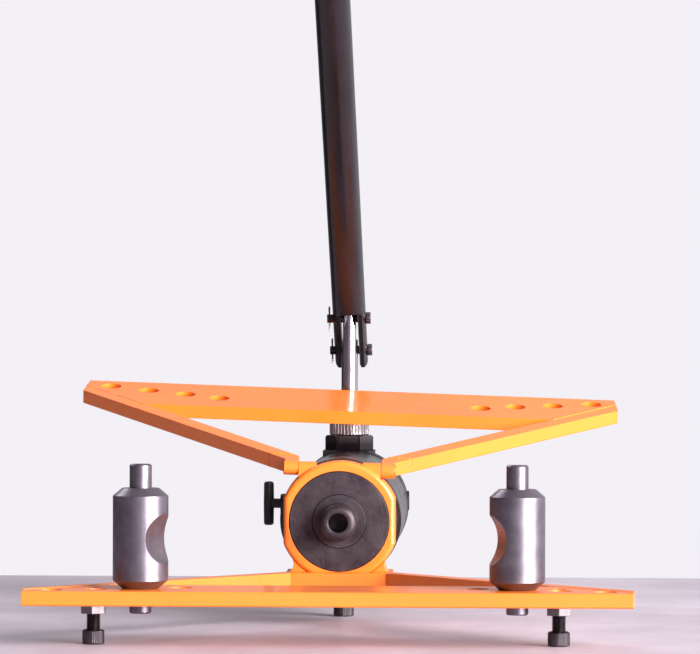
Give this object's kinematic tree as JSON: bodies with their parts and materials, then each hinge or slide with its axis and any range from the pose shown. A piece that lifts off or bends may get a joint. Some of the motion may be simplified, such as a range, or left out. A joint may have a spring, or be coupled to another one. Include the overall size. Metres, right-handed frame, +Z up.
{
  "type": "manual tube bender",
  "caption": "Hand-pumped hydraulic tube bender: a welded wing frame with two bending rollers, a hinged upper wing and a ram that pushes a former between the rollers",
  "frame": {"origin": "on the table, under the middle of the bounding box", "axes": "+X to the tool's right seen from the roller side, +Y back along the ram from the rollers to the pump, +Z up"},
  "size_m": [0.495, 0.5926, 0.733],
  "materials": {
    "orange_enamel": "glossy orange enamel over welded plate",
    "gloss_black": "high gloss black enamel",
    "matt_black": "satin black paint on a cast and machined head",
    "dark_steel": "turned and oiled dark steel",
    "black_oxide": "black oxide steel",
    "chrome": "hard chrome, polished",
    "bright_steel": "bright turned and knurled steel",
    "roller_steel": "satin phosphated steel, turned",
    "lever_paint": "gloss black enamel on tube",
    "grip_rubber": "ribbed black rubber",
    "seal_rubber": "plain oil-proof rubber",
    "inner_steel": "machined steel, not seen outside"
  },
  "bodies": {
    "frame": {"lower_crossbar": "orange_enamel", "lower_strut_left": "orange_enamel", "lower_strut_right": "orange_enamel", "lower_hub": "orange_enamel", "collar_ring": "orange_enamel", "collar_welds": "orange_enamel", "hinge_pins": "black_oxide", "cylinder_gland": "dark_steel", "rod_wiper": "seal_rubber", "rod_seal": "seal_rubber", "cylinder_tube": "inner_steel", "reservoir_tube": "gloss_black", "rear_head": "matt_black", "return_spring": "inner_steel", "filler_plug": "matt_black", "valve_boss": "matt_black", "check_balls": "inner_steel", "pump_gland_nut": "black_oxide", "plunger_seal": "seal_rubber", "knurled_ring": "bright_steel", "link_pin": "black_oxide", "lock_nuts": "black_oxide", "rear_foot_saddle": "orange_enamel"},
    "upper_wing": {"upper_crossbar": "orange_enamel", "upper_strut_left": "orange_enamel", "upper_strut_right": "orange_enamel", "upper_arm_left": "orange_enamel", "upper_arm_right": "orange_enamel"},
    "ram": {"ram": "dark_steel", "piston": "inner_steel", "piston_seal": "seal_rubber"},
    "plunger": {"plunger": "chrome"},
    "lever": {"lever_yoke": "lever_paint", "lever_tube": "lever_paint", "lever_grip": "grip_rubber", "plunger_pin": "black_oxide", "fulcrum_pin": "black_oxide", "split_pins": "bright_steel"},
    "link": {"link": "dark_steel"},
    "release_valve": {"release_spindle": "matt_black", "release_bar": "matt_black"},
    "roller_left": {"roller_left": "roller_steel"},
    "roller_right": {"roller_right": "roller_steel"},
    "foot_front_left": {"foot_screw_front_left": "black_oxide"},
    "foot_front_right": {"foot_screw_front_right": "black_oxide"},
    "foot_rear": {"foot_screw_rear": "black_oxide"}
  },
  "joints": [
    {"name": "upper_wing_hinge", "type": "hinge", "parent": "frame", "child": "upper_wing", "pos_m": [0, -0.0321, 0.1342], "axis": [0.9998, 0, -0.0182], "range_deg": [0, 167.1]},
    {"name": "ram_slide", "type": "slide", "parent": "frame", "child": "ram", "axis": [0, -1, 0], "range_m": [0, 0.18], "stiffness_N_per_m": 300, "deforming": ["return_spring"]},
    {"name": "lever_swing", "type": "hinge", "parent": "plunger", "child": "lever", "pos_m": [-0.002, 0.2499, 0.266], "axis": [0.9998, 0, 0.0192], "range_deg": [-5, 30]},
    {"name": "plunger_slide", "type": "slide", "parent": "frame", "child": "plunger", "axis": [0, 0, 1], "range_m": [-0.0205, 0.0045]},
    {"name": "link_swing", "type": "hinge", "parent": "frame", "child": "link", "pos_m": [-0.002, 0.2799, 0.15], "axis": [1, 0, 0], "range_deg": [-9, 3]},
    {"name": "release_turn", "type": "hinge", "parent": "frame", "child": "release_valve", "pos_m": [-0.07, 0.2499, 0.092], "axis": [-1, 0, 0], "range_deg": [0, 270]},
    {"name": "roller_left_spin", "type": "hinge", "parent": "frame", "child": "roller_left", "pos_m": [-0.1523, -0.2561, 0.0863], "axis": [0, 0, 1], "continuous": true},
    {"name": "roller_right_spin", "type": "hinge", "parent": "frame", "child": "roller_right", "pos_m": [0.1523, -0.2561, 0.0863], "axis": [0, 0, 1], "continuous": true},
    {"name": "foot_front_left_turn", "type": "hinge", "parent": "frame", "child": "foot_front_left", "pos_m": [-0.1915, -0.2461, 0.02], "axis": [0, 0, 1], "continuous": true},
    {"name": "foot_front_right_turn", "type": "hinge", "parent": "frame", "child": "foot_front_right", "pos_m": [0.186, -0.2461, 0.02], "axis": [0, 0, 1], "continuous": true},
    {"name": "foot_rear_turn", "type": "hinge", "parent": "frame", "child": "foot_rear", "pos_m": [0, 0.0669, 0.02], "axis": [0, 0, 1], "continuous": true}
  ],
  "couplings": [
    {"joint": "plunger_slide", "follows": "lever_swing", "m_per_rad": -0.0365},
    {"joint": "link_swing", "follows": "lever_swing", "ratio": -0.265}
  ]
}
